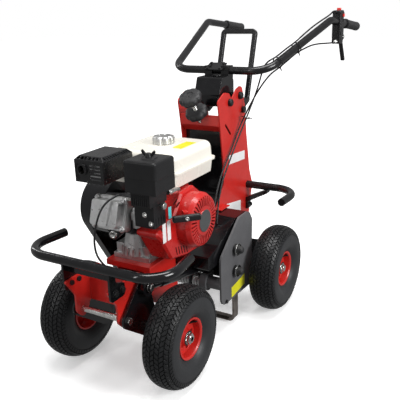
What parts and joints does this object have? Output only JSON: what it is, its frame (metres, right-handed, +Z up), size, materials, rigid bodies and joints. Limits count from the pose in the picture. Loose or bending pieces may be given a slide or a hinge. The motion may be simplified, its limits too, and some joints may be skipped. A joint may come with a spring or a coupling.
{
  "type": "turf cutter",
  "caption": "Walk-behind turf cutter with a small petrol engine, four pneumatic wheels, a U-shaped oscillating blade and a long handlebar.",
  "frame": {"origin": "on the ground, at the middle of the machine's length and width", "axes": "+Z up, +Y from the engine towards the handlebar grips, +X across the machine"},
  "size_m": [0.548, 1.4115, 0.944],
  "materials": {
    "red_paint": "satin",
    "red_shroud_paint": "gloss",
    "black_paint": "gloss",
    "grey_paint": "satin",
    "bright_steel": "bright zinc",
    "dark_steel": "blackened",
    "cast_aluminium": "as cast",
    "rubber": "matt",
    "tyre_rubber": "matt",
    "tank_paint": "gloss",
    "black_plastic": "satin",
    "red_plastic": "gloss"
  },
  "bodies": {
    "frame": {"rear_axle": "dark_steel", "chassis_frame": "red_paint", "engine_plate": "red_paint", "pivot_bar": "bright_steel", "front_bumper": "black_paint", "rear_bumper": "black_paint", "drive_housing": "black_paint", "rear_frame": "black_paint", "eccentric_sleeve": "cast_aluminium", "drive_belt": "rubber", "crankcase": "cast_aluminium", "cylinder": "dark_steel", "cylinder_head": "cast_aluminium", "fan_shroud": "red_shroud_paint", "recoil_cover": "red_shroud_paint", "fuel_tank": "tank_paint", "airbox": "black_plastic", "airbox_cover": "black_plastic", "carburettor": "cast_aluminium", "muffler": "dark_steel", "muffler_guard": "black_paint", "belt_guard": "black_paint", "mast_cheeks": "red_paint", "mast_cross_plate": "red_paint", "mast_panel": "black_paint", "clamp_base": "black_paint", "clamp_caps": "bright_steel", "fasteners": "dark_steel", "throttle_cable": "black_plastic"},
    "front_wheel_left": {"front_tyre_left": "tyre_rubber", "front_rim_left": "red_paint"},
    "front_wheel_right": {"front_tyre_right": "tyre_rubber", "front_rim_right": "red_paint"},
    "rear_wheel_left": {"rear_tyre_left": "tyre_rubber", "rear_rim_left": "red_paint"},
    "rear_wheel_right": {"rear_tyre_right": "tyre_rubber", "rear_rim_right": "red_paint"},
    "front_swing": {"front_arms": "black_paint", "front_axle": "bright_steel"},
    "depth_rod": {"depth_link": "black_paint"},
    "depth_wheel": {"depth_knob": "black_plastic", "depth_screw": "bright_steel"},
    "lock_wheel": {"lock_knob": "black_plastic"},
    "engine_crank": {"crankshaft": "bright_steel"},
    "eccentric": {"eccentric_shaft": "bright_steel"},
    "cutter": {"blade_plate_left": "grey_paint", "blade_plate_right": "grey_paint", "blade": "dark_steel", "buffer_bushes": "rubber", "buffer_washers": "bright_steel"},
    "starter_grip": {"recoil_handle": "black_plastic"},
    "filler_cap": {"fuel_cap": "bright_steel"},
    "lift_loop": {"lift_lever": "black_paint"},
    "steering_bar": {"handlebar": "black_paint", "grips": "rubber", "control_box": "black_plastic", "control_cables": "black_plastic"},
    "squeeze_lever": {"drive_lever": "black_plastic"},
    "run_button": {"top_button": "red_plastic"},
    "stop_button": {"side_button": "red_plastic"}
  },
  "joints": [
    {"name": "front_axle_swing", "type": "hinge", "parent": "frame", "child": "front_swing", "pos_m": [0, -0.65025, 0.216], "axis": [1, 0, 0], "range_deg": [-4, 9]},
    {"name": "front_wheel_left_spin", "type": "hinge", "parent": "front_swing", "child": "front_wheel_left", "pos_m": [0.172, -0.54525, 0.14], "axis": [1, 0, 0], "continuous": true},
    {"name": "rear_wheel_left_spin", "type": "hinge", "parent": "frame", "child": "rear_wheel_left", "pos_m": [0.229, -0.03725, 0.14], "axis": [1, 0, 0], "continuous": true},
    {"name": "front_wheel_right_spin", "type": "hinge", "parent": "front_swing", "child": "front_wheel_right", "pos_m": [-0.172, -0.54525, 0.14], "axis": [1, 0, 0], "continuous": true},
    {"name": "rear_wheel_right_spin", "type": "hinge", "parent": "frame", "child": "rear_wheel_right", "pos_m": [-0.229, -0.03725, 0.14], "axis": [1, 0, 0], "continuous": true},
    {"name": "depth_rod_slide", "type": "slide", "parent": "frame", "child": "depth_rod", "axis": [0, 0.9741, -0.226], "range_m": [-0.0142, 0.0063]},
    {"name": "depth_knob_turn", "type": "hinge", "parent": "frame", "child": "depth_wheel", "pos_m": [0, -0.13225, 0.656], "axis": [0, -0.578, 0.816], "range_deg": [-260, 585]},
    {"name": "lock_knob_turn", "type": "hinge", "parent": "frame", "child": "lock_wheel", "pos_m": [0, -0.13225, 0.656], "axis": [0, -0.578, 0.816], "range_deg": [-90, 90]},
    {"name": "engine_crank_spin", "type": "hinge", "parent": "frame", "child": "engine_crank", "pos_m": [0, -0.39025, 0.413], "axis": [1, 0, 0], "continuous": true},
    {"name": "eccentric_spin", "type": "hinge", "parent": "frame", "child": "eccentric", "pos_m": [0, -0.29025, 0.174], "axis": [1, 0, 0], "continuous": true},
    {"name": "cutter_shake", "type": "slide", "parent": "frame", "child": "cutter", "axis": [0, 1, 0], "range_m": [-0.004, 0.004]},
    {"name": "starter_pull", "type": "slide", "parent": "frame", "child": "starter_grip", "axis": [0.7071, -0.7071, 0], "range_m": [0, 0.3], "stiffness_N_per_m": 15},
    {"name": "fuel_cap_turn", "type": "hinge", "parent": "frame", "child": "filler_cap", "pos_m": [0, -0.32325, 0.6], "axis": [0, 0, 1], "range_deg": [0, 90]},
    {"name": "lift_lever_swing", "type": "hinge", "parent": "frame", "child": "lift_loop", "pos_m": [0, 0.04475, 0.64], "axis": [1, 0, 0], "range_deg": [-22, 6]},
    {"name": "handlebar_tilt", "type": "hinge", "parent": "frame", "child": "steering_bar", "pos_m": [0, 0.01675, 0.768], "axis": [1, 0, 0], "range_deg": [-12, 12], "deforming": ["control_cables"]},
    {"name": "drive_lever_squeeze", "type": "hinge", "parent": "steering_bar", "child": "squeeze_lever", "pos_m": [0.247, 0.50275, 0.842], "axis": [1, 0, 0], "range_deg": [0, 48], "stiffness_Nm_per_rad": 1, "springref_deg": -17.19},
    {"name": "run_button_press", "type": "slide", "parent": "steering_bar", "child": "run_button", "axis": [0, 0, -1], "range_m": [0, 0.003], "stiffness_N_per_m": 400},
    {"name": "stop_button_press", "type": "slide", "parent": "steering_bar", "child": "stop_button", "axis": [-1, 0, 0], "range_m": [0, 0.003], "stiffness_N_per_m": 400}
  ],
  "couplings": [
    {"joint": "depth_rod_slide", "follows": "front_axle_swing", "m_per_rad": -0.0845},
    {"joint": "depth_knob_turn", "follows": "front_axle_swing", "ratio": 60},
    {"joint": "eccentric_spin", "follows": "engine_crank_spin", "ratio": 0.9}
  ]
}
